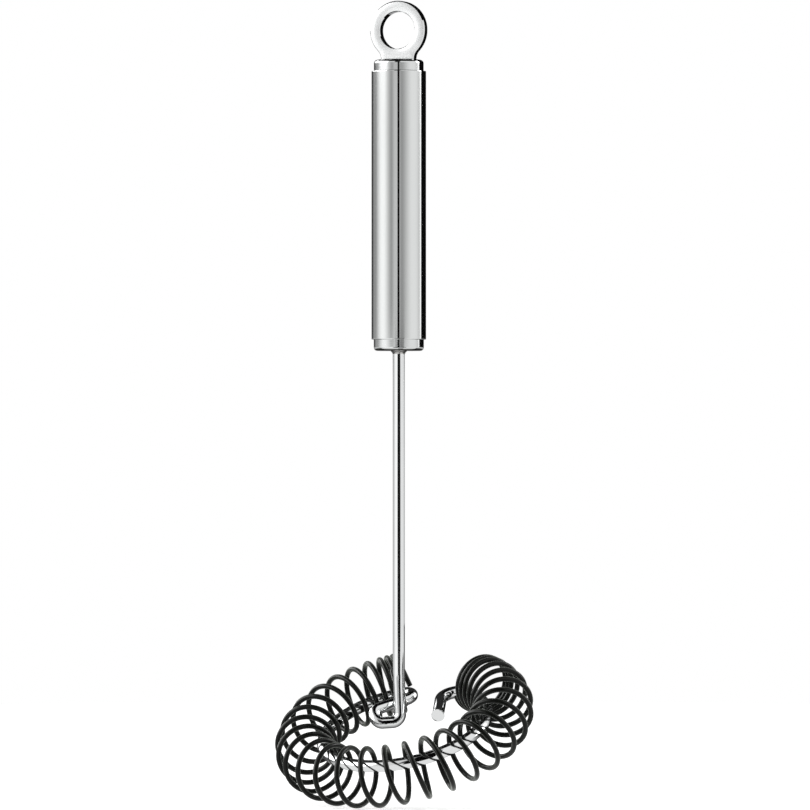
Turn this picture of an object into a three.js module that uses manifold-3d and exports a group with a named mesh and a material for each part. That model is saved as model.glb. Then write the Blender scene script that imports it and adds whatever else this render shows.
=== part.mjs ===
// Spiral whisk: a hollow steel handle with a hanging eye, one bent steel wire that ends in a
// tilted ring, and a coated coil spring threaded loosely round that ring.
// Millimetres, +Z up. The origin is the centre of the hanging hole, the eye plate lies along X
// and the front of the handle faces -Y.
import * as THREE from 'three';
import { mergeVertices } from 'three/addons/utils/BufferGeometryUtils.js';
import Module from 'manifold-3d';

const wasm = await Module();
wasm.setup();

// Clearance between pieces that are pressed or welded together
const FIT = 0.3;

// Handle tube and the plug in each of its ends
const TUBE_DIAMETER = 18;
const TUBE_WALL = 0.6;
const TUBE_LENGTH = 88.6;
const TUBE_EDGE_RADIUS = 0.25;
const PLUG_STANDOUT = 3.7;
const PLUG_DEPTH = 9;
const PLUG_EDGE_RADIUS = 1.1;

// Hanging eye: a plate with rounded edges that stands on the top plug by its neck
const EYE_DIAMETER = 19.4;
const EYE_HOLE_DIAMETER = 12.3;
const EYE_THICKNESS = 3.4;
const EYE_EDGE_RADIUS = 0.5;
const EYE_HEIGHT = 9.8;
const NECK_WIDTH = 11.6;
const NECK_FLARE_ANGLE = 38;
const NECK_FLARE_SHARE = 0.5;
const TANG_WIDTH = 8;
const TANG_DEPTH = 6;

// Whisk wire: shaft, loop behind the shaft, hairpin, ring and tail, bent from one length
const WIRE_DIAMETER = 4;
const WIRE_IN_HANDLE = 22;
const SHAFT_LENGTH = 122.3;
const SHAFT_KINK_HEIGHT = 15;
const SHAFT_KINK_OFFSET = 1.25;
const SHAFT_KINK_RADIUS = 40;
const FOOT_INNER_RADIUS = 0.8;
const LOOP_INNER_RADIUS = 0.45;
const LOOP_CORNER_REACH = 16.8;
const CROSSING_RISE = 4.9;
const HAIRPIN_INNER_RADIUS = 1.1;
const HAIRPIN_REACH = 5.6;
const RUN_HEADING = 58;
const RING_RADIUS = 27.5;
const RING_TILT = 24.1;
const RING_TURN = -7.9;
const RING_START = 119.5;
const RING_END = 432;
const TAIL_INNER_RADIUS = 2.5;
const TAIL_TURN = 131;
const TAIL_LENGTH = 11.9;

// Coil spring, hung on the ring wire with some slack: its place, its turns and its close ends
const COIL_WIRE_DIAMETER = 1.6;
const COIL_RADIUS = 9.3;
const COIL_SLACK = 0.85;
const COIL_RING_ASIDE = -0.32;
const COIL_RING_RISE = 0.2;
const COIL_EXTRA_TILT = 2.2;
const COIL_START_LEAD = 0.3;
const COIL_END_SHORT = 2.87;
const COIL_START_PHASE = 225;
const COIL_TURNS = 29.83;
const START_STRAIGHT = 5.2;
const END_STRAIGHT = 8.7;
const CLOSE_GAP = 0.52;
const START_CLOSE_TURNS = 1.55;
const START_EASE_TURNS = 6.2;
const END_CLOSE_TURNS = 2.75;
const END_EASE_TURNS = 3.7;

// Weld beads
const NECK_BEAD_WIDTH = 0.6;
const NECK_BEAD_HEIGHT = 0.25;
const NECK_BEAD_DEPTH = 0.8;
const CROSS_BEAD_ALONG = 2.6;
const CROSS_BEAD_DROP = 1.3;
const CROSS_BEAD_LENGTH = 7.4;
const CROSS_BEAD_HEIGHT = 4.6;
const CROSS_BEAD_DEPTH = 5;

// Facets
const ROUND_SIDES = 48;
const WIRE_SIDES = 12;
const ARC_STEP = 12;
const BEAD_SIDES = 24;
const CURL_STEPS = 12;
const CURL_SIDES = 5;
const MERGE_DISTANCE = 1e-4;

// Derived places
const { degToRad, radToDeg } = THREE.MathUtils;
const tubeRadius = TUBE_DIAMETER / 2;
const boreRadius = tubeRadius - TUBE_WALL;
const plugRadius = boreRadius - FIT;
const wireRadius = WIRE_DIAMETER / 2;
const plugTop = -EYE_HEIGHT;
const tubeTop = plugTop - PLUG_STANDOUT;
const tubeBottom = tubeTop - TUBE_LENGTH;
const plugBottom = tubeBottom - PLUG_STANDOUT;
const footHeight = plugBottom - SHAFT_LENGTH;

const brushedSteel = new THREE.MeshStandardMaterial({ color: 0xc4c6c6, roughness: 0.28, metalness: 1 });
const polishedSteel = new THREE.MeshStandardMaterial({ color: 0xd2d4d4, roughness: 0.15, metalness: 1 });
const weldSteel = new THREE.MeshStandardMaterial({ color: 0xa9aaa8, roughness: 0.4, metalness: 1 });
const blackSilicone = new THREE.MeshStandardMaterial({ color: 0x26282a, roughness: 0.5, metalness: 0 });

// Profiles and solids

function arcPoints(centreX, centreY, radius, fromDegrees, toDegrees, steps) {
  return Array.from({ length: steps + 1 }, (_, i) => {
    const angle = degToRad(fromDegrees + ((toDegrees - fromDegrees) * i) / steps);
    return new THREE.Vector2(centreX + radius * Math.cos(angle), centreY + radius * Math.sin(angle));
  });
}

// A profile of (radius, height) points, counter-clockwise, turned about Z
function revolve(profile) {
  const closed = [...profile, profile[0]];
  const geometry = new THREE.LatheGeometry(closed, ROUND_SIDES);
  return geometry.rotateX(Math.PI / 2);
}

function toManifold(geometry) {
  const bare = new THREE.BufferGeometry();
  bare.setAttribute('position', geometry.getAttribute('position').clone());
  if (geometry.index) bare.setIndex(geometry.index);
  const merged = mergeVertices(bare, MERGE_DISTANCE);
  return new wasm.Manifold(
    new wasm.Mesh({
      numProp: 3,
      vertProperties: new Float32Array(merged.getAttribute('position').array),
      triVerts: new Uint32Array(merged.index.array),
    }),
  );
}

function toGeometry(solid) {
  const mesh = solid.getMesh();
  const geometry = new THREE.BufferGeometry();
  geometry.setAttribute('position', new THREE.BufferAttribute(mesh.vertProperties, 3));
  geometry.setIndex(new THREE.BufferAttribute(mesh.triVerts, 1));
  return geometry;
}

// Handle

function handleTube() {
  const edge = TUBE_EDGE_RADIUS;
  const outer = tubeRadius - edge;
  return revolve([
    new THREE.Vector2(boreRadius, tubeBottom),
    ...arcPoints(outer, tubeBottom + edge, edge, -90, 0, 3),
    ...arcPoints(outer, tubeTop - edge, edge, 0, 90, 3),
    new THREE.Vector2(boreRadius, tubeTop),
  ]);
}

// The top plug has a blind slot for the tang of the eye
function topPlug() {
  const edge = PLUG_EDGE_RADIUS;
  const bottom = tubeTop - PLUG_DEPTH;
  const body = revolve([
    new THREE.Vector2(0, bottom),
    new THREE.Vector2(plugRadius, bottom),
    ...arcPoints(plugRadius - edge, plugTop - edge, edge, 0, 90, 6),
    new THREE.Vector2(0, plugTop),
  ]);
  const slotDepth = TANG_DEPTH + FIT;
  const slot = new THREE.BoxGeometry(TANG_WIDTH + 2 * FIT, EYE_THICKNESS + 2 * FIT, 2 * slotDepth);
  slot.translate(0, 0, plugTop);
  return toGeometry(toManifold(body).subtract(toManifold(slot)));
}

// The bottom plug has a hole for the wire, with a socket for the weld at its mouth
function bottomPlug() {
  const edge = PLUG_EDGE_RADIUS;
  const top = tubeBottom + PLUG_DEPTH;
  const hole = wireRadius + FIT;
  const socket = hole + NECK_BEAD_WIDTH + FIT;
  const seat = plugBottom + NECK_BEAD_DEPTH + FIT;
  return revolve([
    new THREE.Vector2(hole, seat),
    new THREE.Vector2(socket, seat),
    new THREE.Vector2(socket, plugBottom),
    ...arcPoints(plugRadius - edge, plugBottom + edge, edge, -90, 0, 6),
    new THREE.Vector2(plugRadius, top),
    new THREE.Vector2(hole, top),
  ]);
}

// Outline in X and Z: a ring, concave flares into the neck, and the tang that enters the plug
function hangingEye() {
  const radius = EYE_DIAMETER / 2;
  const neck = NECK_WIDTH / 2;
  const tang = TANG_WIDTH / 2;
  const shoulder = plugTop + FIT;
  const flare = degToRad(-NECK_FLARE_ANGLE);
  const flareX = radius * Math.cos(flare);
  const flareY = radius * Math.sin(flare);
  const pull = (flareY - shoulder) * NECK_FLARE_SHARE;
  const outline = new THREE.Shape();
  outline.moveTo(tang, plugTop - TANG_DEPTH);
  outline.lineTo(tang, shoulder);
  outline.lineTo(neck, shoulder);
  outline.quadraticCurveTo(neck, shoulder + pull, flareX, flareY);
  outline.absarc(0, 0, radius, flare, Math.PI - flare, false);
  outline.quadraticCurveTo(-neck, shoulder + pull, -neck, shoulder);
  outline.lineTo(-tang, shoulder);
  outline.lineTo(-tang, plugTop - TANG_DEPTH);
  const hole = new THREE.Path();
  hole.absarc(0, 0, EYE_HOLE_DIAMETER / 2, 0, 2 * Math.PI, true);
  outline.holes.push(hole);
  const geometry = new THREE.ExtrudeGeometry(outline, {
    depth: EYE_THICKNESS - 2 * EYE_EDGE_RADIUS,
    bevelThickness: EYE_EDGE_RADIUS,
    bevelSize: EYE_EDGE_RADIUS,
    bevelOffset: -EYE_EDGE_RADIUS,
    bevelSegments: 3,
    curveSegments: 24,
  });
  geometry.translate(0, 0, EYE_EDGE_RADIUS - EYE_THICKNESS / 2);
  return geometry.rotateX(Math.PI / 2);
}

// Bead between the wire and the bottom plug: it fills the socket and rises a little up the wire
function neckBead() {
  const inner = wireRadius + FIT;
  const top = plugBottom + NECK_BEAD_DEPTH;
  const swell = new THREE.Vector2(NECK_BEAD_WIDTH, NECK_BEAD_HEIGHT);
  const face = arcPoints(0, 0, 1, -90, 0, 5).map((point) => point.multiply(swell));
  return revolve([
    ...face.map((point) => new THREE.Vector2(inner + point.x, plugBottom + point.y)),
    new THREE.Vector2(inner + NECK_BEAD_WIDTH, top),
    new THREE.Vector2(inner, top),
  ]);
}

// Whisk wire

// The plane of the ring, as axes in the wire's own frame: across, back up the slope, and normal
const tilt = degToRad(RING_TILT);
const across = new THREE.Vector3(1, 0, 0);
const back = new THREE.Vector3(0, Math.cos(tilt), Math.sin(tilt));
const normal = new THREE.Vector3(0, -Math.sin(tilt), Math.cos(tilt));

const hairpinRadius = HAIRPIN_INNER_RADIUS + wireRadius;
const tailRadius = TAIL_INNER_RADIUS + wireRadius;

function heading(degrees) {
  const angle = degToRad(degrees);
  return across.clone().multiplyScalar(Math.cos(angle)).addScaledVector(back, Math.sin(angle));
}

// From the ring's centre to where the straight run meets the hairpin
const hairpinStart = heading(RING_START)
  .multiplyScalar(RING_RADIUS - hairpinRadius)
  .addScaledVector(heading(RUN_HEADING - 90), hairpinRadius);

// The run passes behind the shaft, a wire's width and a clearance away, at the crossing height
const runDirection = heading(RUN_HEADING);
const runPlan = new THREE.Vector2(runDirection.x, runDirection.y).normalize();
const shaftGap = WIRE_DIAMETER + FIT;
const crossing = new THREE.Vector3(-runPlan.y * shaftGap, runPlan.x * shaftGap, footHeight + CROSSING_RISE);
const ringCentre = crossing.clone().addScaledVector(runDirection, HAIRPIN_REACH).sub(hairpinStart);

function arcStations(centre, radius, fromDegrees, toDegrees) {
  const steps = Math.max(2, Math.ceil(Math.abs(toDegrees - fromDegrees) / ARC_STEP));
  return Array.from({ length: steps + 1 }, (_, i) =>
    heading(fromDegrees + ((toDegrees - fromDegrees) * i) / steps).multiplyScalar(radius).add(centre),
  );
}

// A corner between two straight lengths, rounded to a bend radius
function bend(before, corner, after, radius) {
  const incoming = corner.clone().sub(before).normalize();
  const outgoing = after.clone().sub(corner).normalize();
  const turn = incoming.angleTo(outgoing);
  const start = corner.clone().addScaledVector(incoming, -radius * Math.tan(turn / 2));
  const inward = outgoing.clone().addScaledVector(incoming, -outgoing.dot(incoming)).normalize();
  const steps = Math.max(2, Math.ceil(radToDeg(turn) / ARC_STEP));
  return Array.from({ length: steps + 1 }, (_, i) => {
    const angle = (turn * i) / steps;
    return start
      .clone()
      .addScaledVector(incoming, radius * Math.sin(angle))
      .addScaledVector(inward, radius * (1 - Math.cos(angle)));
  });
}

// A route through given stations, one step of a sweep to each
class StationRoute extends THREE.Curve {
  constructor(stations) {
    super();
    this.stations = stations;
  }

  getUtoTmapping(u) {
    return u;
  }

  getPoint(t, target = new THREE.Vector3()) {
    const place = Math.min(Math.max(t, 0), 1) * (this.stations.length - 1);
    const index = Math.min(Math.floor(place), this.stations.length - 2);
    return target.lerpVectors(this.stations[index], this.stations[index + 1], place - index);
  }
}

function sweep(stations, radius, sides) {
  const section = new THREE.Shape(arcPoints(0, 0, radius, 0, 360, sides).slice(0, -1));
  return new THREE.ExtrudeGeometry(section, {
    steps: stations.length - 1,
    extrudePath: new StationRoute(stations),
  });
}

function wireStations() {
  const kink = new THREE.Vector2(-runPlan.x, -runPlan.y).rotateAround(new THREE.Vector2(), Math.PI / 2);
  const top = new THREE.Vector3(0, 0, plugBottom + WIRE_IN_HANDLE);
  const kinkCorner = new THREE.Vector3(0, 0, footHeight + SHAFT_KINK_HEIGHT);
  const foot = new THREE.Vector3(kink.x, kink.y, 0).multiplyScalar(SHAFT_KINK_OFFSET);
  foot.z = footHeight;
  const loopCorner = crossing.clone().addScaledVector(runDirection, -LOOP_CORNER_REACH);
  const runEnd = ringCentre.clone().add(hairpinStart);
  const hairpinCentre = heading(RING_START).multiplyScalar(RING_RADIUS - hairpinRadius).add(ringCentre);
  const tailCentre = heading(RING_END).multiplyScalar(RING_RADIUS - tailRadius).add(ringCentre);
  const tailAngle = RING_END + TAIL_TURN;
  const tailBend = arcStations(tailCentre, tailRadius, RING_END, tailAngle);
  const tailEnd = tailBend.at(-1).clone().addScaledVector(heading(tailAngle + 90), TAIL_LENGTH);
  return [
    top,
    ...bend(top, kinkCorner, foot, SHAFT_KINK_RADIUS),
    ...bend(kinkCorner, foot, loopCorner, FOOT_INNER_RADIUS + wireRadius),
    ...bend(foot, loopCorner, runEnd, LOOP_INNER_RADIUS + wireRadius),
    ...arcStations(hairpinCentre, hairpinRadius, RUN_HEADING - 90, RING_START),
    ...arcStations(ringCentre, RING_RADIUS, RING_START, RING_END).slice(1),
    ...tailBend.slice(1),
    tailEnd,
  ];
}

// Coil spring

// The coil's middle line runs outside the ring, so that its turns hang on the wire's inner side
const coilOutset = COIL_RADIUS - (COIL_WIRE_DIAMETER + WIRE_DIAMETER) / 2 - COIL_SLACK;
const coilRingRadius = RING_RADIUS + coilOutset;

// Angle round the coil's ring for a length along it
function coilAngle(length) {
  return radToDeg(length / coilRingRadius);
}

const closeStep = coilAngle(COIL_WIRE_DIAMETER + CLOSE_GAP);

// Share of the open pitch at a turn: none on the close end turns, and soon all of it in between
function openness(turn) {
  const opening = (turn - START_CLOSE_TURNS) / START_EASE_TURNS;
  const closing = (COIL_TURNS - turn - END_CLOSE_TURNS) / END_EASE_TURNS;
  const share = THREE.MathUtils.clamp(Math.min(opening, closing), 0, 1);
  return 1 - (1 - share) ** 2;
}

// A right-handed helix round a tilted ring, with a straight lead of one wire diameter at each end
function coilStations() {
  const lean = degToRad(COIL_EXTRA_TILT);
  const coilBack = back.clone().applyAxisAngle(across, lean);
  const coilNormal = normal.clone().applyAxisAngle(across, lean);
  const centre = ringCentre.clone();
  centre.addScaledVector(across, COIL_RING_ASIDE).addScaledVector(normal, COIL_RING_RISE);
  const steps = Math.round(COIL_TURNS * CURL_STEPS);
  const turns = Array.from({ length: steps }, (_, i) => ((i + 0.5) * COIL_TURNS) / steps);
  const openTurns = turns.reduce((sum, turn) => sum + openness(turn), 0) / CURL_STEPS;
  const start = RING_START - coilAngle(COIL_START_LEAD);
  const end = RING_END - coilAngle(COIL_END_SHORT);
  const openExtra = (end - start - closeStep * COIL_TURNS) / openTurns;
  // Facets cut the corners of each curl, so their points lie a little outside its true radius
  const facetRadius = (2 * COIL_RADIUS) / (1 + Math.cos(Math.PI / CURL_STEPS));
  // The close ends resist bending: their turns stay parallel where the ring curves on
  const firstBent = RING_START + coilAngle(START_STRAIGHT);
  const lastBent = RING_END - coilAngle(END_STRAIGHT);
  const outward = (degrees) =>
    across
      .clone()
      .multiplyScalar(Math.cos(degToRad(degrees)))
      .addScaledVector(coilBack, Math.sin(degToRad(degrees)));
  let angle = start;
  const stations = [];
  for (let i = 0; i <= steps; i += 1) {
    const curl = degToRad(COIL_START_PHASE) + (2 * Math.PI * i) / CURL_STEPS;
    const facing = outward(THREE.MathUtils.clamp(angle, firstBent, lastBent));
    stations.push(
      centre
        .clone()
        .addScaledVector(outward(angle), coilRingRadius)
        .addScaledVector(facing, facetRadius * Math.cos(curl))
        .addScaledVector(coilNormal, -facetRadius * Math.sin(curl)),
    );
    if (i < steps) angle += (closeStep + openExtra * openness(turns[i])) / CURL_STEPS;
  }
  return [lead(stations[1], stations[0]), ...stations, lead(stations.at(-2), stations.at(-1))];
}

function lead(inner, end) {
  return end.clone().addScaledVector(end.clone().sub(inner).normalize(), COIL_WIRE_DIAMETER);
}

// Least clear distance between one curl and the curls beside it
function leastSelfGap(stations) {
  let least = Infinity;
  stations.forEach((point, i) => {
    for (let j = i + CURL_STEPS / 2; j < stations.length - 1; j += 1) {
      const span = new THREE.Line3(stations[j], stations[j + 1]);
      const nearest = span.closestPointToPoint(point, true, new THREE.Vector3());
      least = Math.min(least, nearest.distanceTo(point));
    }
  });
  return least - COIL_WIRE_DIAMETER;
}

// Weld lump in the corner under the run and behind the shaft, cut clear of both
function crossBead() {
  const lump = new THREE.SphereGeometry(0.5, BEAD_SIDES, BEAD_SIDES / 2);
  lump.scale(CROSS_BEAD_LENGTH, CROSS_BEAD_DEPTH, CROSS_BEAD_HEIGHT);
  lump.rotateZ(Math.atan2(runPlan.y, runPlan.x));
  const centre = crossing.clone().addScaledVector(runDirection, CROSS_BEAD_ALONG);
  lump.translate(centre.x, centre.y, centre.z - CROSS_BEAD_DROP);
  const cutter = toManifold(sweep(wireStations(), wireRadius + FIT, WIRE_SIDES));
  return toGeometry(toManifold(lump).subtract(cutter));
}

// Assembly

function piece(name, geometry, material) {
  const mesh = new THREE.Mesh(geometry, material);
  mesh.name = name;
  return mesh;
}

const coil = coilStations();
console.log('least gap between curls, mm:', leastSelfGap(coil).toFixed(2));

const handle = new THREE.Group();
handle.add(
  piece('handle_tube', handleTube(), brushedSteel),
  piece('top_plug', topPlug(), brushedSteel),
  piece('hanging_eye', hangingEye(), polishedSteel),
  piece('bottom_plug', bottomPlug(), brushedSteel),
  piece('neck_weld', neckBead(), weldSteel),
);

const head = new THREE.Group();
head.rotation.z = degToRad(RING_TURN);
head.add(
  piece('whisk_wire', sweep(wireStations(), wireRadius, WIRE_SIDES), polishedSteel),
  piece('loop_weld', crossBead(), weldSteel),
  piece('coil_spring', sweep(coil, COIL_WIRE_DIAMETER / 2, CURL_SIDES), blackSilicone),
);

const whisk = new THREE.Group();
whisk.add(handle, head);

export default whisk;
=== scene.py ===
# %% [markdown]
# # A spiral whisk
#
# The whisk is a hollow steel handle with a hanging eye, one bent steel wire below it, and a black
# coil spring threaded on the ring at the foot of that wire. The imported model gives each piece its
# place and size. It is faceted, which polished steel would show at once, so every piece is made
# again here with a fine surface, in the same place.

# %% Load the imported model
from math import atan2, cos, hypot, pi, radians, sin, sqrt, tan

import bmesh
import bpy
from mathutils import Matrix, Vector, kdtree, noise


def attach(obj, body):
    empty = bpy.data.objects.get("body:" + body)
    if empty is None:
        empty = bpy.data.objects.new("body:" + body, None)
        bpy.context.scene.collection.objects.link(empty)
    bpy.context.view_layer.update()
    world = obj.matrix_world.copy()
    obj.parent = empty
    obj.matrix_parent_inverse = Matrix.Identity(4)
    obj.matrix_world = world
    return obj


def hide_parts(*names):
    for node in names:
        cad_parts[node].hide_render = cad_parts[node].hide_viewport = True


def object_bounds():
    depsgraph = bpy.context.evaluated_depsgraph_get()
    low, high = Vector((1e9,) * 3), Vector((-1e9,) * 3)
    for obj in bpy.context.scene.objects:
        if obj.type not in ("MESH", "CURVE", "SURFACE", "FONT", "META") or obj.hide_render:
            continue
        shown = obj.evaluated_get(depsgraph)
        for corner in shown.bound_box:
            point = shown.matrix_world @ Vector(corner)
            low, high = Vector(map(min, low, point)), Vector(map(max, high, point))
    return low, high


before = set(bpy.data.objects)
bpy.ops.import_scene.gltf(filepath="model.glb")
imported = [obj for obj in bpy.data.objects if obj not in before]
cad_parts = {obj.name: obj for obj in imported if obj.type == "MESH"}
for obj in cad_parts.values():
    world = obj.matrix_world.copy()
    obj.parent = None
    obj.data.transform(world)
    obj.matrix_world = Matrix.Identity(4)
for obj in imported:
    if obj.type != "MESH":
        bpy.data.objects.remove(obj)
cad_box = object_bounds()

# %% [markdown]
# ## Camera
#
# The photographer stood a good way off and level with the whisk's middle, a little to the right of
# the eye's front. A short lens close by would spread the handle's sides, so a long lens from far off
# is used, which keeps them parallel. The eye's face gives the bearing: its hole is seen 22 degrees
# from square on.

# %% Camera
VIEW_BEARING = radians(22)
CAMERA_PLACE = (0.6762, -1.6682, -0.12365)
FOCAL_LENGTH = 242.4
SENSOR_WIDTH = 36
toward_camera = Vector((sin(VIEW_BEARING), -cos(VIEW_BEARING), 0))
right_of_camera = Vector((cos(VIEW_BEARING), sin(VIEW_BEARING), 0))

lens = bpy.data.cameras.new("long_lens")
lens.lens = FOCAL_LENGTH
lens.sensor_width = SENSOR_WIDTH
camera = bpy.data.objects.new("camera", lens)
camera.location = CAMERA_PLACE
camera.rotation_euler = (pi / 2, 0, VIEW_BEARING)
bpy.context.scene.collection.objects.link(camera)
bpy.context.scene.camera = camera
print("camera at", CAMERA_PLACE, "with a lens of", FOCAL_LENGTH, "mm")

# %% [markdown]
# ## Writing finishes as sums
#
# A finish is a small tree of nodes. Placing each Math node by hand hides the idea, so a wrapped
# socket takes part in ordinary sums, and every other node comes from one method.

# %% Sockets that add up
class Socket:
    """One output of a node: arithmetic on it adds Math nodes to its finish."""

    def __init__(self, finish, output):
        self.finish = finish
        self.output = output

    def sibling(self, name):
        """Another output of the same node."""
        return Socket(self.finish, self.output.node.outputs[name])

    def math(self, operation, first, second=0.0):
        return self.finish.node("ShaderNodeMath", {"operation": operation}, {0: first, 1: second})

    def __add__(self, other):
        return self.math("ADD", self, other)

    __radd__ = __add__

    def __sub__(self, other):
        return self.math("SUBTRACT", self, other)

    def __rsub__(self, other):
        return self.math("SUBTRACT", other, self)

    def __mul__(self, other):
        return self.math("MULTIPLY", self, other)

    __rmul__ = __mul__

    def __pow__(self, other):
        return self.math("POWER", self, other)

    def __abs__(self):
        return self.math("ABSOLUTE", self)


print("a wrapped socket takes + - * ** and abs()")

# %% Nodes of a finish
class Finish:
    """The nodes of one material or of the world."""

    def __init__(self, owner):
        owner.use_nodes = True
        self.owner = owner
        self.tree = owner.node_tree
        self.tree.nodes.clear()

    def node(self, kind, settings=None, sockets=None, output=0):
        """Add a node, set it up, fill or link its sockets, and give one of its outputs."""
        made = self.tree.nodes.new(kind)
        for name, value in (settings or {}).items():
            setattr(made, name, value)
        for name, value in (sockets or {}).items():
            if isinstance(value, Socket):
                self.tree.links.new(value.output, made.inputs[name])
            else:
                made.inputs[name].default_value = value
        return Socket(self, made.outputs[output]) if made.outputs else None

    def place(self):
        return self.node("ShaderNodeTexCoord", output="Object")

    def stretched(self, scale):
        """Object coordinates, multiplied along each axis."""
        return self.node("ShaderNodeMapping", None, {"Vector": self.place(), "Scale": scale})

    def noise(self, place, scale, detail=2.0):
        return self.node("ShaderNodeTexNoise", None, {"Vector": place, "Scale": scale, "Detail": detail})

    def blend(self, share, low, high):
        """One colour into another."""
        return self.node("ShaderNodeMix", {"data_type": "RGBA"}, {0: share, 6: low, 7: high}, 2)

    def ease(self, value, start, end, low=0.0, high=1.0):
        """A soft step from low to high as the value goes from start to end."""
        sockets = {0: value, 1: start, 2: end, 3: low, 4: high}
        return self.node("ShaderNodeMapRange", {"interpolation_type": "SMOOTHSTEP"}, sockets)

    def bump(self, height, strength, distance):
        sockets = {"Height": height, "Strength": strength, "Distance": distance}
        return self.node("ShaderNodeBump", None, sockets)

    def surface(self, **sockets):
        """The shader that ends a material."""
        named = {name.replace("_", " "): value for name, value in sockets.items()}
        shader = self.node("ShaderNodeBsdfPrincipled", None, named)
        self.node("ShaderNodeOutputMaterial", None, {"Surface": shader})
        return self.owner


def new_finish(name):
    return Finish(bpy.data.materials.new(name))


print("every other node comes from", Finish.node.__name__)

# %% [markdown]
# ## Steel finishes
#
# All the metal is stainless steel, but each piece was worked in its own way and keeps the marks.
# Polished steel shows little of itself and much of the studio, so the marks go into the roughness
# and a very slight bump, and hardly into the colour.
#
# The tube was drawn and polished along its length, so its marks are long hairs up and down. An image
# of brushed metal would have to be unwrapped on the tube. Noise that is squeezed across the handle
# and stretched along it gives the same hairs from the place alone.

# %% Drawn tube
def drawn_steel():
    finish = new_finish("drawn_steel")
    hairs = finish.noise(finish.stretched((2600, 2600, 40)), 1.0, 3.0)
    clouds = finish.noise(finish.stretched((90, 90, 30)), 1.0)
    colour = finish.blend(clouds, (0.685, 0.70, 0.695, 1), (0.735, 0.745, 0.74, 1))
    return finish.surface(
        Base_Color=colour,
        Metallic=1.0,
        Roughness=0.035 + 0.03 * hairs + 0.02 * clouds,
        Normal=finish.bump(hairs, 0.02, 0.000005),
    )


DRAWN_STEEL = drawn_steel()
print("finish", DRAWN_STEEL.name)

# %% [markdown]
# A plug was turned in a lathe, which leaves fine grooves that go round. Cut as geometry they would be
# far thinner than a pixel, so noise in one dimension, over the distance from the axis, draws them.
# The last edge under the bottom plug is painted almost black: a painted dark reflection.

# %% Turned plugs
# Heights of the painted dark reflection on the last edge under the bottom plug.
PAINTED_DARK_EDGE = (-0.1054, -0.105)


def turned_steel():
    finish = new_finish("turned_steel")
    place = finish.place()
    x = finish.node("ShaderNodeSeparateXYZ", None, {"Vector": place})
    y, z = x.sibling("Y"), x.sibling("Z")
    across_lathe = (x * x + y * y) ** 0.5 + z
    grooves = {"W": across_lathe, "Scale": 2600, "Detail": 3}
    rings = finish.node("ShaderNodeTexNoise", {"noise_dimensions": "1D"}, grooves)
    clouds = finish.noise(place, 160)
    clean = finish.blend(clouds, (0.67, 0.685, 0.68, 1), (0.73, 0.74, 0.74, 1))
    # Below these heights the colour is painted almost black, a painted dark reflection on the plug's last
    # edge.
    colour = finish.blend(finish.ease(z, *PAINTED_DARK_EDGE), (0.1, 0.1, 0.095, 1), clean)
    return finish.surface(
        Base_Color=colour,
        Metallic=1.0,
        Roughness=0.05 + 0.05 * rings,
        Normal=finish.bump(rings, 0.04, 0.000005),
    )


TURNED_STEEL = turned_steel()
print("finish", TURNED_STEEL.name)

# %% [markdown]
# The eye has satin faces and polished edges. Two materials on one mesh would meet in a hard line, so
# a single finish asks which way the surface faces, and eases from satin to polish.

# %% Satin eye
def satin_steel():
    finish = new_finish("satin_steel")
    facing = finish.node("ShaderNodeTexCoord", output="Normal")
    parts = finish.node("ShaderNodeSeparateXYZ", None, {"Vector": facing})
    face = finish.ease(abs(parts.sibling("Y")), 0.9, 0.985)
    hairs = finish.noise(finish.stretched((2400, 200, 60)), 1.0, 3.0)
    colour = finish.blend(face, (0.72, 0.73, 0.73, 1), (0.80, 0.81, 0.81, 1))
    return finish.surface(
        Base_Color=colour,
        Metallic=1.0,
        Roughness=0.05 + face * (0.17 + 0.08 * hairs),
        Normal=finish.bump(hairs * face, 0.06, 0.00001),
    )


SATIN_STEEL = satin_steel()
print("finish", SATIN_STEEL.name)

# %% [markdown]
# The wire is bright drawn wire. A perfect mirror would look unreal on it, so fine specks and slow
# clouds make it a little rougher here and there.

# %% Bright wire
def bright_wire():
    finish = new_finish("bright_wire")
    place = finish.place()
    specks = finish.noise(place, 900, 3.0)
    clouds = finish.noise(place, 120)
    colour = finish.blend(clouds, (0.74, 0.75, 0.75, 1), (0.80, 0.81, 0.81, 1))
    return finish.surface(
        Base_Color=colour,
        Metallic=1.0,
        Roughness=0.04 + 0.03 * specks + 0.03 * clouds,
        Normal=finish.bump(specks, 0.02, 0.00001),
    )


BRIGHT_WIRE = bright_wire()
print("finish", BRIGHT_WIRE.name)

# %% [markdown]
# A weld is metal that ran and set: rippled, duller than the wire and tinted by heat. Its lumps are
# modelled further down. The ripples on them are too fine for that, so they are a bump.

# %% Weld
def weld_bead():
    finish = new_finish("weld_bead")
    place = finish.place()
    ripples = finish.noise(place, 900, 4.0)
    heat = finish.noise(place, 350)
    colour = finish.blend(heat, (0.42, 0.41, 0.39, 1), (0.64, 0.64, 0.63, 1))
    return finish.surface(
        Base_Color=colour,
        Metallic=1.0,
        Roughness=0.16 + 0.2 * ripples,
        Normal=finish.bump(ripples, 0.12, 0.00005),
    )


WELD_BEAD = weld_bead()
print("finish", WELD_BEAD.name)

# %% [markdown]
# ## Silicone on the spring
#
# The spring is steel wire with a skin of black silicone. Silicone is never a dead black: it is a deep
# charcoal, faintly uneven where the skin set, and it holds a little dust. More gloss would make it
# look like wet paint, so its pale rims come from a sheen, which light grazing a soft skin gives.

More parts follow.
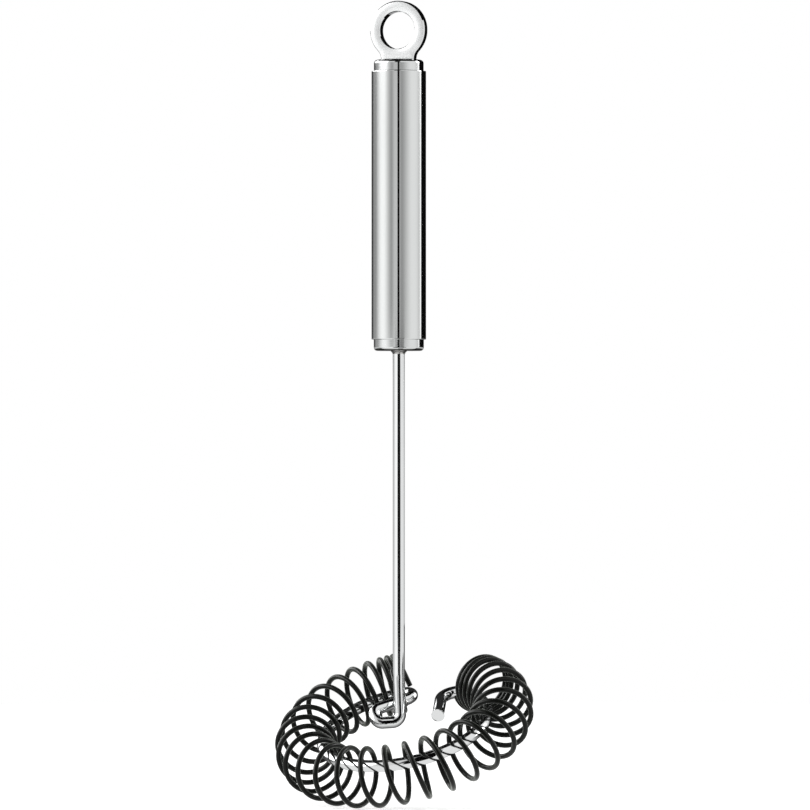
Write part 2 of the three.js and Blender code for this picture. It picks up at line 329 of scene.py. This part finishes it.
# %% Black silicone
def black_silicone():
    finish = new_finish("black_silicone")
    place = finish.place()
    mottle = finish.noise(place, 400, 3.0)
    grain = finish.noise(place, 4000, 2.0)
    dust = finish.ease(finish.noise(place, 1500, 4.0), 0.62, 0.8)
    charcoal = finish.blend(mottle, (0.0018, 0.002, 0.0016, 1), (0.0045, 0.005, 0.004, 1))
    colour = finish.blend(dust * 0.2, charcoal, (0.02, 0.02, 0.018, 1))
    return finish.surface(
        Base_Color=colour,
        Metallic=0.0,
        Roughness=0.1 + 0.06 * mottle,
        Specular_IOR_Level=0.16,
        Sheen_Weight=0.62,
        Sheen_Roughness=0.36,
        Sheen_Tint=(0.95, 1.0, 0.92, 1),
        Normal=finish.bump(grain, 0.04, 0.00002),
    )


BLACK_SILICONE = black_silicone()
print("finish", BLACK_SILICONE.name)

# %% [markdown]
# ## Making a piece
#
# Every size below is in millimetres, as a maker would write it, and a finished shape is brought to
# metres once, at the end. The piece then rides on its body, takes the place of its imported node and
# is given its finish as its material.

# %% Finish a shape as a piece
MILLIMETRE = 0.001
CREASE = radians(40)


def make_piece(bm, name, material, body, node):
    bmesh.ops.scale(bm, vec=(MILLIMETRE,) * 3, verts=bm.verts)
    mesh = bpy.data.meshes.new(name)
    bm.to_mesh(mesh)
    open_edges = sum(not edge.is_manifold for edge in bm.edges)
    bm.free()
    mesh.shade_smooth()
    mesh.set_sharp_from_angle(angle=CREASE)
    mesh.materials.append(material)
    piece = bpy.data.objects.new(name, mesh)
    bpy.context.scene.collection.objects.link(piece)
    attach(piece, body)
    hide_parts(node)
    print(name, len(mesh.polygons), "faces,", open_edges, "open edges")
    return piece

# %% [markdown]
# ## Tube and plugs
#
# These three were turned or drawn round one axis. A cylinder from Blender's menu would need its steps
# and hole cut in later, so each is half a section, spun once round the axis. The rims are then rounded
# with a bevel, as a maker breaks an edge with a file. A second point close to each corner keeps the
# smooth shading of the rim off the long walls, which must mirror cleanly.

# %% A turned solid
SPIN_STEPS = 192
RIM_SEGMENTS = 8
RIM_GUARD = 0.1


def bevel(bm, edges, width, segments):
    bmesh.ops.bevel(
        bm, geom=edges, offset=width, offset_type="OFFSET", affect="EDGES", segments=segments,
        profile=0.5, material=-1, clamp_overlap=True,
    )


def round_rim(bm, radius, height, width):
    def on_rim(vert):
        return abs(hypot(vert.co.x, vert.co.y) - radius) < 1e-3 and abs(vert.co.z - height) < 1e-3

    bevel(bm, [edge for edge in bm.edges if all(on_rim(vert) for vert in edge.verts)], width, RIM_SEGMENTS)


def turned(corners, rims):
    """Spin a closed (radius, height) section and round the rims given as (corner, width)."""
    bm = bmesh.new()
    reach = max(width for _, width in rims) + RIM_GUARD
    section = []
    for here, after in zip(corners, corners[1:] + corners[:1]):
        start, end = Vector((here[0], 0, here[1])), Vector((after[0], 0, after[1]))
        length = (end - start).length
        section.append(start)
        if length > 4 * reach and (start.x > 0 or end.x > 0):
            section += [start.lerp(end, reach / length), end.lerp(start, reach / length)]
    verts = [bm.verts.new(point) for point in section]
    edges = [bm.edges.new(pair) for pair in zip(verts, verts[1:] + verts[:1])]
    axis = [edge for edge in edges if all(vert.co.x == 0 for vert in edge.verts)]
    bmesh.ops.delete(bm, geom=axis, context="EDGES")
    bmesh.ops.spin(
        bm, geom=bm.verts[:] + bm.edges[:], cent=(0, 0, 0), axis=(0, 0, 1), angle=2 * pi,
        steps=SPIN_STEPS, use_merge=True,
    )
    bmesh.ops.remove_doubles(bm, verts=bm.verts, dist=1e-4)
    bmesh.ops.recalc_face_normals(bm, faces=bm.faces)
    for (radius, height), width in rims:
        round_rim(bm, radius, height, width)
    return bm


print("a section is spun in", SPIN_STEPS, "steps")

# %% Handle tube
TUBE_RADIUS = 9.0
BORE_RADIUS = 8.4
TUBE_TOP = -13.5
TUBE_BOTTOM = -102.1
TUBE_EDGE = 0.22

tube = turned(
    [
        (BORE_RADIUS, TUBE_BOTTOM),
        (TUBE_RADIUS, TUBE_BOTTOM),
        (TUBE_RADIUS, TUBE_TOP),
        (BORE_RADIUS, TUBE_TOP),
    ],
    [((TUBE_RADIUS, TUBE_BOTTOM), TUBE_EDGE), ((TUBE_RADIUS, TUBE_TOP), TUBE_EDGE)],
)
make_piece(tube, "drawn_tube", DRAWN_STEEL, "whisk", "handle_tube")

# %% Top plug
PLUG_TOP = -9.8
TOP_PLUG_RADIUS = 8.2
PLUG_DEPTH = 9.0
PLUG_EDGE = 1.1

top_plug = turned(
    [
        (0, TUBE_TOP - PLUG_DEPTH),
        (TOP_PLUG_RADIUS, TUBE_TOP - PLUG_DEPTH),
        (TOP_PLUG_RADIUS, PLUG_TOP),
        (0, PLUG_TOP),
    ],
    [((TOP_PLUG_RADIUS, PLUG_TOP), PLUG_EDGE)],
)
make_piece(top_plug, "turned_top_plug", TURNED_STEEL, "whisk", "top_plug")

# %% Bottom plug
PLUG_BOTTOM = -105.8
PLUG_RADIUS = 8.27
WIRE_RADIUS = 2.0
WIRE_HOLE = WIRE_RADIUS + 0.3

bottom_plug = turned(
    [
        (WIRE_HOLE, PLUG_BOTTOM),
        (PLUG_RADIUS, PLUG_BOTTOM),
        (PLUG_RADIUS, TUBE_BOTTOM + PLUG_DEPTH),
        (WIRE_HOLE, TUBE_BOTTOM + PLUG_DEPTH),
    ],
    [((PLUG_RADIUS, PLUG_BOTTOM), PLUG_EDGE)],
)
make_piece(bottom_plug, "turned_bottom_plug", TURNED_STEEL, "whisk", "bottom_plug")

# %% [markdown]
# ## Weld at the handle
#
# Where the wire enters the bottom plug, a thin fillet of weld closes the hole. A bevel can't make it,
# because wire and plug are separate pieces. It is a small ring of metal with a hollow face, so it is
# spun too, from a section given as steps out from the wire and up from the plug's underside.

# %% Neck fillet
FILLET = [(-0.05, -1.0), (0.08, -1.0), (0.25, -0.5), (0.75, -0.08), (0.8, 0.3), (-0.05, 0.3)]

fillet = [(WIRE_RADIUS + out, PLUG_BOTTOM + up) for out, up in FILLET]
neck_fillet = turned(fillet, [(fillet[2], 0.2), (fillet[3], 0.1)])
make_piece(neck_fillet, "neck_fillet", WELD_BEAD, "whisk", "neck_weld")

# %% [markdown]
# ## Hanging eye
#
# The eye was forged: its face swells slightly between the rims, whose sharp edges are broken by a
# narrow chamfer, and hollow flares lead from the ring into the neck. A ring joined to a block would
# leave a seam at the flares. So half of the outline is traced by spinning a single vertex, first round
# the hole and then back round the flare, and is mirrored. A bridge to the hole makes the face, the
# face is crowned by its distance from the rims, and its mirror image makes the back.

# %% Outline of the eye
EYE_RADIUS = 9.7
EYE_HOLE = 6.15
NECK_HALF = 5.8
NECK_FOOT = PLUG_TOP - 0.05
FLARE_RADIUS = 3.82


def pick(geom, kind):
    return [item for item in geom if isinstance(item, kind)]


def eye_outline(bm):
    flare = Vector((NECK_HALF + FLARE_RADIUS, 0, 0))
    flare.z = -sqrt((EYE_RADIUS + FLARE_RADIUS) ** 2 - flare.x**2)
    slope = atan2(-flare.z, flare.x)
    tip = [bm.verts.new((0, 0, EYE_RADIUS))]
    for centre, turn, steps in (((0, 0, 0), pi / 2 + slope, 40), (flare, -slope, 12)):
        traced = bmesh.ops.spin(bm, geom=tip, cent=centre, axis=(0, 1, 0), angle=turn, steps=steps)
        tip = pick(traced["geom_last"], bmesh.types.BMVert)
    corner = bm.verts.new((NECK_HALF, 0, NECK_FOOT))
    middle = bm.verts.new((0, 0, NECK_FOOT))
    bm.edges.new((tip[0], corner))
    foot = bm.edges.new((corner, middle))
    bmesh.ops.subdivide_edges(bm, edges=[foot], cuts=8)
    bmesh.ops.mirror(bm, geom=bm.verts[:] + bm.edges[:], axis="X", merge_dist=1e-4)
    bmesh.ops.remove_doubles(bm, verts=bm.verts, dist=1e-4)
    return bm.edges[:]


eye = bmesh.new()
outline = eye_outline(eye)
print("eye outline:", len(outline), "edges")

# %% Crowned face of the eye
EYE_HALF = 1.7
EYE_CROWN = 0.16
EYE_CROWN_REACH = 1.8


def crowned_face(bm, outline):
    upright = Matrix.Rotation(pi / 2, 4, "X")
    hole = bmesh.ops.create_circle(bm, radius=EYE_HOLE, segments=len(outline), matrix=upright)
    hole_edges = list({edge for vert in hole["verts"] for edge in vert.link_edges})
    rims = kdtree.KDTree(len(bm.verts))
    for index, vert in enumerate(bm.verts):
        rims.insert(vert.co, index)
    rims.balance()
    bmesh.ops.bridge_loops(bm, edges=outline + hole_edges)
    spokes = [edge for edge in bm.edges if edge not in set(outline + hole_edges)]
    bmesh.ops.subdivide_edges(bm, edges=spokes, cuts=5, use_grid_fill=True)
    for vert in bm.verts:
        inset = min(rims.find(vert.co)[2] / EYE_CROWN_REACH, 1)
        vert.co.y = EYE_CROWN * (1 - inset) ** 2 - EYE_HALF


crowned_face(eye, outline)
print("eye face:", len(eye.faces), "faces")

# %% Back and rims of the eye
HOLE_EDGE = 0.2
EYE_EDGE = 0.34
RIM_ANGLE = radians(60)
ACROSS_PLATE = 0.5


def of_hole(edge):
    return edge.verts[0].co.xz.length < EYE_HOLE + 0.01


def break_rims(bm, width, inside):
    """Take the sharp edge off the rims of the hole, or of the outline."""
    sharp = [edge for edge in bm.edges if edge.calc_face_angle(0) > RIM_ANGLE]
    rims = [edge for edge in sharp if abs(edge.verts[0].co.y - edge.verts[1].co.y) < ACROSS_PLATE]
    bevel(bm, [edge for edge in rims if of_hole(edge) == inside], width, 1)


bmesh.ops.mirror(eye, geom=eye.verts[:] + eye.edges[:] + eye.faces[:], axis="Y", merge_dist=-1)
for inside in (True, False):
    rim = [edge for edge in eye.edges if edge.is_boundary and of_hole(edge) == inside]
    bmesh.ops.bridge_loops(eye, edges=rim)
bmesh.ops.recalc_face_normals(eye, faces=eye.faces)
break_rims(eye, HOLE_EDGE, inside=True)
break_rims(eye, EYE_EDGE, inside=False)
make_piece(eye, "forged_eye", SATIN_STEEL, "whisk", "hanging_eye")

# %% [markdown]
# ## Route of the wire
#
# One length of 4 mm wire makes the shaft, a loop that passes behind the shaft, a hairpin, the ring
# and a short tail. Below the shaft it all lies close to one plane, tilted up at the back. A curve
# drawn by hand would drift out of that plane, so the route is drawn with bearings in it, and each
# corner between two straight lengths is rounded to the radius of the pin that it was bent on. The run
# behind the shaft is then lifted by about a millimetre, which opens the loop.

# %% The ring's tilted plane
RING_TILT = radians(24.1)
RING_TURN = Matrix.Rotation(radians(-7.9), 3, "Z")
across = Vector((1, 0, 0))
back = Vector((0, cos(RING_TILT), sin(RING_TILT)))
upward = across.cross(back)


def bearing(angle):
    """A direction in the plane of the ring, from an angle in degrees."""
    return across * cos(radians(angle)) + back * sin(radians(angle))


print("the ring's plane faces", [round(value, 3) for value in RING_TURN @ upward])

# %% Crossing and ring centre
SHAFT_LENGTH = 122.3
SHAFT_FOOT = PLUG_BOTTOM - SHAFT_LENGTH
RUN_BEARING = 58.0
RUN_BEHIND, RUN_HEIGHT, RUN_REACH = 4.3, 4.9, 5.6
RING_RADIUS = 27.5
RING_START, RING_END = 119.5, 432.0
HAIRPIN_RADIUS = 3.1

run = bearing(RUN_BEARING)
run_plan = run.xy.normalized()
crossing = Vector((-run_plan.y * RUN_BEHIND, run_plan.x * RUN_BEHIND, SHAFT_FOOT + RUN_HEIGHT))
run_end = crossing + run * RUN_REACH
hairpin_pin = bearing(RING_START) * (RING_RADIUS - HAIRPIN_RADIUS)
ring_centre = run_end - hairpin_pin - bearing(RUN_BEARING - 90) * HAIRPIN_RADIUS
print("ring centre, mm", [round(value, 2) for value in RING_TURN @ ring_centre])

# %% Bends and arcs
ARC_STEP = 4.0


def arc(centre, radius, start, end):
    steps = max(2, round(abs(end - start) / ARC_STEP))
    return [centre + bearing(start + (end - start) * i / steps) * radius for i in range(steps + 1)]


def bend(before, corner, after, radius):
    incoming, outgoing = (corner - before).normalized(), (after - corner).normalized()
    turn = incoming.angle(outgoing)
    inward = (outgoing - incoming * outgoing.dot(incoming)).normalized()
    start = corner - incoming * radius * tan(turn / 2)
    steps = max(3, round(turn / radians(ARC_STEP)))
    angles = [turn * i / steps for i in range(steps + 1)]
    return [start + incoming * radius * sin(a) + inward * radius * (1 - cos(a)) for a in angles]


def lifted(points, start, end):
    """Raise the points of a bend by a height that eases from start to end."""
    shares = [i / (len(points) - 1) for i in range(len(points))]
    heights = [start + (end - start) * share**2 * (3 - 2 * share) for share in shares]
    return [point + Vector((0, 0, height)) for point, height in zip(points, heights)]


print("a bend has a station every", ARC_STEP, "degrees")

# %% Wire route
SHAFT_IN_HANDLE = 22
KINK_HEIGHT, KINK_RADIUS = 15, 40
FOOT_SHIFT, FOOT_RADIUS = 1.25, 2.8
LOOP_REACH, LOOP_RADIUS = 16.8, 2.45
RUN_LIFT, HAIRPIN_LIFT = 1.3, 0.25
TAIL_RADIUS, TAIL_TURN, TAIL_LENGTH = 4.5, 131, 11.9


def wire_route():
    top = Vector((0, 0, PLUG_BOTTOM + SHAFT_IN_HANDLE))
    kink = Vector((0, 0, SHAFT_FOOT + KINK_HEIGHT))
    foot = Vector((run_plan.y * FOOT_SHIFT, -run_plan.x * FOOT_SHIFT, SHAFT_FOOT))
    loop = crossing - run * LOOP_REACH
    pin = ring_centre + hairpin_pin
    tail_pin = ring_centre + bearing(RING_END) * (RING_RADIUS - TAIL_RADIUS)
    tail_bend = arc(tail_pin, TAIL_RADIUS, RING_END, RING_END + TAIL_TURN)
    tail_end = tail_bend[-1] + bearing(RING_END + TAIL_TURN + 90) * TAIL_LENGTH
    route = [top, *bend(top, kink, foot, KINK_RADIUS), *bend(kink, foot, loop, FOOT_RADIUS)]
    route += lifted(bend(foot, loop, run_end, LOOP_RADIUS), 0, RUN_LIFT)
    route += lifted(arc(pin, HAIRPIN_RADIUS, RUN_BEARING - 90, RING_START), HAIRPIN_LIFT, 0)
    route += arc(ring_centre, RING_RADIUS, RING_START, RING_END)[1:]
    route += tail_bend[1:] + [tail_end]
    return [RING_TURN @ point for point in route]


wire_points = wire_route()
wire_length = sum((b - a).length for a, b in zip(wire_points, wire_points[1:]))
print("wire:", len(wire_points), "stations,", round(wire_length), "mm long")

# %% [markdown]
# ## Bending straight wire
#
# A curve with a round bevel would make a wire, but its ends would be plain flat caps. The maker starts
# from a straight length and bends it, and so does this mesh. A long thin cylinder is cut across once
# for each station of the route, and each cut, a ring of vertices, is carried to its station. A ring
# is turned only by as much as the route turns, so the wire never twists.

# %% Wire bent along a route
WIRE_SIDES = 32
WIRE_END_EDGE = 0.25
END_SEGMENTS = 4


def bent_wire(route, radius, sides, end_edge):
    bm = bmesh.new()
    bmesh.ops.create_cone(bm, cap_ends=True, segments=sides, radius1=radius, radius2=radius, depth=1)
    lengthwise = [edge for edge in bm.edges if abs(edge.verts[0].co.z - edge.verts[1].co.z) > 0.5]
    bmesh.ops.subdivide_edges(bm, edges=lengthwise, cuts=len(route) - 2)
    ahead = [(after - before).normalized() for before, after in zip(route, route[1:])]
    tangents = [ahead[0]] + [(one + two).normalized() for one, two in zip(ahead, ahead[1:])] + [ahead[-1]]
    turn = tangents[0].to_track_quat("Z", "Y").to_matrix()
    turns = [turn]
    for before, after in zip(tangents, tangents[1:]):
        turn = before.rotation_difference(after).to_matrix() @ turn
        turns.append(turn)
    for vert in bm.verts:
        station = round((vert.co.z + 0.5) * (len(route) - 1))
        vert.co = route[station] + turns[station] @ Vector((vert.co.x, vert.co.y, 0))
    rims = [edge for end in bm.faces if len(end.verts) == sides for edge in end.edges]
    bevel(bm, rims, end_edge, END_SEGMENTS)
    return bm


wire = bent_wire(wire_points, WIRE_RADIUS, WIRE_SIDES, WIRE_END_EDGE)
make_piece(wire, "bent_wire", BRIGHT_WIRE, "whisk", "whisk_wire")

# %% [markdown]
# ## Weld at the crossing
#
# The wire is welded to the shaft where it passes behind it. The weld is a lump with a drop that ran
# down. It could be sculpted by hand, but a script can't feel its way. So it is two stretched spheres,
# roughened by noise and then eased with a smoothing step.

# %% Weld lump
LUMP_NOISE, LUMP_GRAIN = 0.13, 2.2
LUMP_PLACE, LUMP_SIZE = Vector((0, -0.6, 0.0)), (3.2, 2.1, 1.7)
DROP_PLACE, DROP_SIZE = Vector((0, 0, -1.3)), (1.0, 0.9, 1.1)


def lump(bm, place, size, seed):
    ball = bmesh.ops.create_icosphere(bm, subdivisions=4, radius=1)["verts"]
    for vert in ball:
        vert.co *= 1 + LUMP_NOISE * noise.noise(vert.co * LUMP_GRAIN + Vector((seed, 0, 0)))
    turn = Matrix.Rotation(atan2(run_plan.y, run_plan.x), 4, "Z")
    bmesh.ops.transform(bm, matrix=turn @ Matrix.Diagonal((*size, 1)), verts=ball)
    bmesh.ops.translate(bm, vec=place, verts=ball)
    bmesh.ops.smooth_vert(bm, verts=ball, factor=0.5, use_axis_x=True, use_axis_y=True, use_axis_z=True)


weld = bmesh.new()
lump(weld, crossing + run * 3.2 + LUMP_PLACE, LUMP_SIZE, 3)
lump(weld, crossing + run * 0.1 + DROP_PLACE, DROP_SIZE, 8)
bmesh.ops.rotate(weld, cent=(0, 0, 0), matrix=RING_TURN, verts=weld.verts)
make_piece(weld, "crossing_weld", WELD_BEAD, "whisk", "loop_weld")

# %% [markdown]
# ## Coil spring
#
# The spring is one long helix that hangs on the ring. Blender's Screw modifier winds only round a
# straight axis, so the route is worked out and the wire bent along it as before. Its middle line is a
# wider circle, tilted a little more than the ring, and its turns lie close together at both ends and
# open in between. The close ends resist bending, so their turns stay parallel where the ring curves
# on, and the very first end leads towards the hairpin. The route has 64 stations a turn, so the round
# wire stays round.

# %% Route of the spring
SPRING_WIRE_RADIUS = 0.86
COIL_RADIUS = 9.3
COIL_RING = 33.15
COIL_START, COIL_END = 119.1, 427.0
COIL_TURNS = 29.94
COIL_STEPS = 64
COIL_PHASE = radians(195.0)
COIL_LEAN = radians(2.2)
COIL_LEFT, COIL_RISE = 0.32, 0.2
CLOSE_STEP = 3.0
FIRST_CLOSE, FIRST_OPENING = 1.3, 6.5
LAST_CLOSE, LAST_OPENING = 2.2, 4.3
FIRST_BENT, LAST_BENT = 128.5, 417.0
LEAD_ANGLE, LEAD_STEPS = 3.3, 26


def openness(turn):
    """Share of the open pitch: none on the close end turns, and soon all of it in between."""
    from_start = (turn - FIRST_CLOSE) / FIRST_OPENING
    from_end = (COIL_TURNS - turn - LAST_CLOSE) / LAST_OPENING
    return 1 - (1 - min(max(min(from_start, from_end), 0), 1)) ** 2


def coil_route():
    lean = Matrix.Rotation(COIL_LEAN, 3, across)
    coil_back, coil_up = lean @ back, lean @ upward
    centre = ring_centre - across * COIL_LEFT + upward * COIL_RISE

    def outward(angle):
        return across * cos(radians(angle)) + coil_back * sin(radians(angle))

    steps = round(COIL_TURNS * COIL_STEPS)
    shares = [openness((i + 0.5) / COIL_STEPS) for i in range(steps)]
    extra = ((COIL_END - COIL_START) * COIL_STEPS - CLOSE_STEP * steps) / sum(shares)
    angle, route = COIL_START, []
    for i in range(steps + 1):
        curl = COIL_PHASE + 2 * pi * i / COIL_STEPS
        facing = outward(min(max(angle, FIRST_BENT), LAST_BENT))
        lead = LEAD_ANGLE * max(1 - i / LEAD_STEPS, 0) ** 1.5
        spot = centre + outward(angle - lead) * COIL_RING + facing * COIL_RADIUS * cos(curl)
        route.append(RING_TURN @ (spot - coil_up * COIL_RADIUS * sin(curl)))
        if i < steps:
            angle += (CLOSE_STEP + extra * shares[i]) / COIL_STEPS
    return route


coil_points = coil_route()
print("spring:", len(coil_points), "stations in", COIL_TURNS, "turns")

# %% Spring
SPRING_SIDES = 14
SPRING_END_EDGE = 0.3

spring = bent_wire(coil_points, SPRING_WIRE_RADIUS, SPRING_SIDES, SPRING_END_EDGE)
make_piece(spring, "coated_spring", BLACK_SILICONE, "spring", "coil_spring")

# %% [markdown]
# ## Studio
#
# Polished steel is a picture of its room. The photographer hung soft light to the left and the right,
# with a bright strip far right, and left a narrow dark gap by the camera that draws the line down the
# handle's middle. Higher up, the left light ends half way to the ceiling, the right one reaches right
# over the whisk, and the back is dark, as the loop and the ring show. Lamps could be hung for all of
# this, but each would have to be aimed by trial. So the room is the world that glossy rays see, written
# by compass bearing from the camera and by rise, and the camera itself sees white.

# %% Bearings of the room
world = bpy.data.worlds.new("studio")
bpy.context.scene.world = world
room = Finish(world)
ray = room.node("ShaderNodeTexCoord", output="Generated")


def along(direction):
    return room.node("ShaderNodeVectorMath", {"operation": "DOT_PRODUCT"}, {0: ray, 1: direction}, "Value")


sides = {0: along(right_of_camera), 1: along(toward_camera)}
turn_from_camera = room.node("ShaderNodeMath", {"operation": "ARCTAN2"}, sides) * (180 / pi)
rise = along(Vector((0, 0, 1)))


def panel(middle, core, fade):
    """1 within core degrees of a bearing, easing to 0 over the next fade degrees."""
    return room.ease(abs(turn_from_camera - middle), core, core + fade, 1.0, 0.0)


def below(start, end):
    """1 for rays that rise less than start, easing to 0 at end."""
    return room.ease(rise, start, end, 1.0, 0.0)


print("room:", len(world.node_tree.nodes), "nodes for bearing and rise")

# %% Lights and gaps level with the whisk
beside_handle = (
    (
        0.36
        + 0.9 * panel(-73, 3, 43)
        + 0.36 * panel(-10, 4, 20)
        + 0.62 * panel(66, 6, 54)
        + 0.75 * panel(104.5, 3.2, 1.5)
    )
    * (1 - panel(-1.4, 3.6, 1.2))
    * (1 - 0.9 * panel(-165, 12, 28))
)
beside_shaft = (
    (0.68 + 0.52 * panel(-50, 16, 40) + 0.28 * panel(55, 25, 50))
    * (1 - 0.99 * panel(4, 17, 7))
    * (1 - 0.9 * panel(4, 26, 8) * below(-0.052, -0.044))
    * (1 - 0.4 * panel(180, 20, 40))
    * (1 - 0.4 * panel(-180, 20, 40))
)
HANDLE_RISE = (0.004, 0.0095)
level = beside_shaft + (beside_handle - beside_shaft) * room.ease(rise, *HANDLE_RISE)
print("room:", len(world.node_tree.nodes), "nodes with the lights beside the whisk")

# %% Lights above the whisk
left_light = panel(-50, 35, 30) * below(0.78, 0.95)
left_core = panel(-80, 20, 12) * below(0.6, 0.8)
right_light = panel(68, 55, 12)
backdrop = panel(-116, 26, 12) * below(0.6, 0.8)
strip = panel(105, 8, 5) * below(0.5, 0.7)
above = 0.025 + 0.8 * left_light + 3.2 * left_core + 0.95 * right_light + 3.0 * backdrop + 5.0 * strip
above *= 1 - 0.95 * panel(-7, 8, 8) * below(0.6, 0.8)
ABOVE_RISE = (0.065, 0.09)
studio_level = level + (above - level) * room.ease(rise, *ABOVE_RISE)

seen = room.node("ShaderNodeLightPath", output="Is Camera Ray")
glossy = seen.sibling("Is Glossy Ray")
through = seen.sibling("Is Transmission Ray")
plain = room.node("ShaderNodeMath", {"operation": "MAXIMUM"}, {0: seen, 1: through})
ROOM_LEVEL = 0.7
lit = ROOM_LEVEL + (studio_level - ROOM_LEVEL) * glossy
strength = lit + (1 - lit) * plain
sky = room.node("ShaderNodeBackground", None, {"Color": (1, 1, 1, 1), "Strength": strength})
room.node("ShaderNodeOutputWorld", None, {"Surface": sky})
print("studio:", len(world.node_tree.nodes), "nodes")

# %% [markdown]
# ## Black flags
#
# A world is endlessly far away, so it can't darken one piece and spare its neighbour. Photographers
# stand black cards, called flags, close to the work for that, and so does this studio. One behind the
# handle draws its dark right edge, one behind the hairpin and one before the ring draw their dark
# sides, and one hangs above the eye. Only reflections see them.

# %% Black flags
BLACK_CLOTH = new_finish("black_cloth")
cloth = BLACK_CLOTH.node("ShaderNodeBsdfDiffuse", None, {"Color": (0.003, 0.003, 0.003, 1)})
BLACK_CLOTH.node("ShaderNodeOutputMaterial", None, {"Surface": cloth})


def flag(name, bm):
    """A card that only polished metal and silicone see."""
    mesh = bpy.data.meshes.new(name)
    bm.to_mesh(mesh)
    bm.free()
    mesh.materials.append(BLACK_CLOTH.owner)
    card = bpy.data.objects.new(name, mesh)
    bpy.context.scene.collection.objects.link(card)
    card.visible_camera = card.visible_diffuse = card.visible_shadow = False


def upright_flag(name, front, rear, low, high):
    """A standing card between two places given as metres to the right and metres behind."""
    bm = bmesh.new()
    places = [right_of_camera * right - toward_camera * behind for right, behind in (front, rear)]
    hem = bm.edges.new([bm.verts.new((place.x, place.y, low)) for place in places])
    raised = bmesh.ops.extrude_edge_only(bm, edges=[hem])["geom"]
    bmesh.ops.translate(bm, vec=(0, 0, high - low), verts=pick(raised, bmesh.types.BMVert))
    flag(name, bm)


upright_flag("handle_flag", (0.1008, 0.0307), (0.0228, 0.098), PLUG_BOTTOM * MILLIMETRE, 0.13)
upright_flag("hairpin_flag", (0.098, 0.046), (0.048, 0.099), cad_box[0][2], -0.2)
upright_flag("ring_flag", (-0.005, -0.08), (0.036, -0.08), -0.2535, -0.16)
top_flag = bmesh.new()
above_eye = Matrix.Translation((0, 0, 0.08))
bmesh.ops.create_circle(top_flag, cap_ends=True, radius=0.15, segments=32, matrix=above_eye)
flag("top_flag", top_flag)
print("flags behind the handle, behind the hairpin, before the ring and above the eye")

# %% [markdown]
# ## Lamps and floor
#
# Two soft lamps shape the matt surfaces and cast the whisk's shadow. They are hidden from reflections,
# because the steel already mirrors the room. The floor is a white disc just under the spring. A plain
# white one would light the ring from below on all sides, but the steel in the photo is dark towards
# the back. So the floor that reflections see is white in front and dark behind.

# %% Lamps
def lamp(name, place, target, size, power):
    light = bpy.data.lights.new(name, "AREA")
    light.shape = "DISK"
    light.size = size
    light.energy = power
    holder = bpy.data.objects.new(name, light)
    holder.location = place
    holder.rotation_euler = (Vector(target) - Vector(place)).to_track_quat("-Z", "Y").to_euler()
    holder.visible_glossy = False
    bpy.context.scene.collection.objects.link(holder)
    print("lamp", name, power, "W")


HEAD = (0.006, -0.012, -0.23)
lamp("key", (-0.5, -0.55, 0.62), HEAD, 0.5, 4.0)
lamp("fill", (0.6, -0.3, 0.75), HEAD, 0.6, 2.0)

# %% Floor
FLOOR_HEIGHT = cad_box[0][2] - 0.0005
FLOOR_RADIUS = 0.6
DARK_TO_WHITE = (-0.02, 0.035)


def white_floor():
    finish = new_finish("white_floor")
    seen = finish.node("ShaderNodeLightPath", output="Is Camera Ray")
    matt = finish.node("ShaderNodeBsdfDiffuse", None, {"Color": (0.9, 0.9, 0.9, 1)})
    glow = finish.node("ShaderNodeEmission", None, {"Strength": 0.45})
    lit = finish.node("ShaderNodeAddShader", None, {0: matt, 1: glow})
    shown = finish.node("ShaderNodeMixShader", None, {0: seen, 1: matt, 2: lit})
    # Reflections see a painted glow on the floor: white in front of the whisk, and painted shade, near
    # black, behind it.
    forward = {0: finish.place(), 1: toward_camera}
    before = finish.node("ShaderNodeVectorMath", {"operation": "DOT_PRODUCT"}, forward, "Value")
    shade = finish.ease(before, *DARK_TO_WHITE)
    colour = finish.blend(shade, (0.1, 0.1, 0.1, 1), (0.95, 0.95, 0.95, 1))
    painted_floor_glow = finish.node("ShaderNodeEmission", None, {"Color": colour, "Strength": 1.0})
    both = finish.node("ShaderNodeMixShader", None, {0: seen.sibling("Is Glossy Ray"), 1: shown, 2: painted_floor_glow})
    finish.node("ShaderNodeOutputMaterial", None, {"Surface": both})
    return finish.owner


floor_bm = bmesh.new()
bmesh.ops.create_circle(floor_bm, cap_ends=True, radius=FLOOR_RADIUS, segments=96)
bmesh.ops.translate(floor_bm, vec=(0, 0, FLOOR_HEIGHT), verts=floor_bm.verts)
floor_mesh = bpy.data.meshes.new("floor")
floor_bm.to_mesh(floor_mesh)
floor_bm.free()
floor_mesh.materials.append(white_floor())
floor = bpy.data.objects.new("floor", floor_mesh)
bpy.context.scene.collection.objects.link(floor)
bpy.context.scene.view_settings.view_transform = "Standard"
print("floor at", round(FLOOR_HEIGHT, 4))

# %% [markdown]
# ## Size of the imported solids
#
# The dressed whisk is built to the size of its imported solids, so the box round them is printed.
# The dressed whisk has to keep the size of its solids.

# %% Size of the imported solids
print("cad box", [list(corner) for corner in cad_box])
